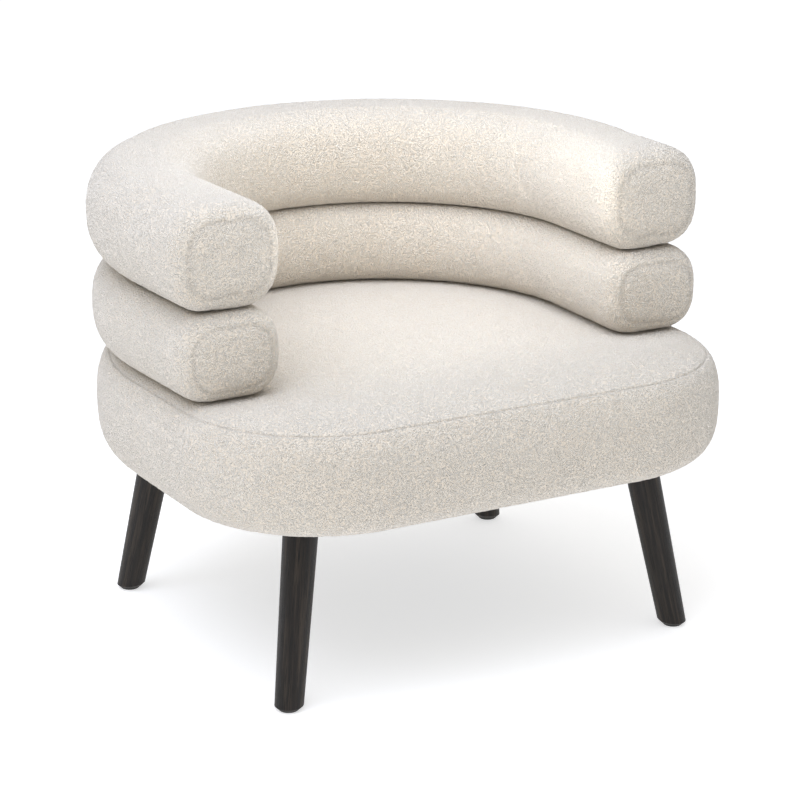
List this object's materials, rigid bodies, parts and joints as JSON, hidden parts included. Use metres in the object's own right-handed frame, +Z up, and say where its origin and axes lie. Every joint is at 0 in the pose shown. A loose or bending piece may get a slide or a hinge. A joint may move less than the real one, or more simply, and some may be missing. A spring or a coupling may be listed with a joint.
{
  "type": "upholstered armchair",
  "caption": "Low lounge armchair in ivory looped fabric: stacked horseshoe rolls form the arms and back over a thick rounded seat on splayed black wooden legs.",
  "frame": {"origin": "on the floor, at the middle of the chair's width and depth", "axes": "+Z up, +X to the right of someone who faces the chair, -Y out of the seat's front"},
  "size_m": [0.8198, 0.788, 0.655],
  "materials": {
    "black_wood": "satin",
    "glide_plastic": "matte",
    "zinc_steel": "satin",
    "brass_insert": "satin",
    "plywood": "matte",
    "beech": "matte",
    "elastic_webbing": "matte",
    "hessian": "matte",
    "foam": "matte",
    "wadding": "matte",
    "boucle": "matte",
    "black_nonwoven": "matte"
  },
  "bodies": {
    "root": {"leg_front_left": "black_wood", "leg_front_right": "black_wood", "leg_back_left": "black_wood", "leg_back_right": "black_wood", "foot_glides": "glide_plastic", "glide_nails": "zinc_steel", "leg_bolts": "zinc_steel", "base_screws": "zinc_steel", "ring_screws": "zinc_steel", "rib_screws": "zinc_steel", "webbing_staples": "zinc_steel", "cover_staples": "zinc_steel", "dust_cover_staples": "zinc_steel", "threaded_inserts": "brass_insert", "base_board": "plywood", "seat_ring": "plywood", "lower_rib": "plywood", "upper_rib": "plywood", "front_rail": "beech", "side_rail_left": "beech", "side_rail_right": "beech", "back_rail": "beech", "centre_rail": "beech", "corner_block_front_left": "beech", "corner_block_front_right": "beech", "corner_block_back_left": "beech", "corner_block_back_right": "beech", "arm_posts": "beech", "side_posts": "beech", "back_posts": "beech", "webbing_lengthwise": "elastic_webbing", "webbing_crosswise": "elastic_webbing", "support_cloth": "hessian", "seat_foam": "foam", "lower_roll_foam": "foam", "upper_roll_foam": "foam", "seat_wadding": "wadding", "seat_top_cover": "boucle", "seat_border_cover": "boucle", "lower_roll_cover": "boucle", "upper_roll_cover": "boucle", "lower_end_panel_left": "boucle", "lower_end_panel_right": "boucle", "upper_end_panel_left": "boucle", "upper_end_panel_right": "boucle", "dust_cover": "black_nonwoven"}
  },
  "joints": []
}
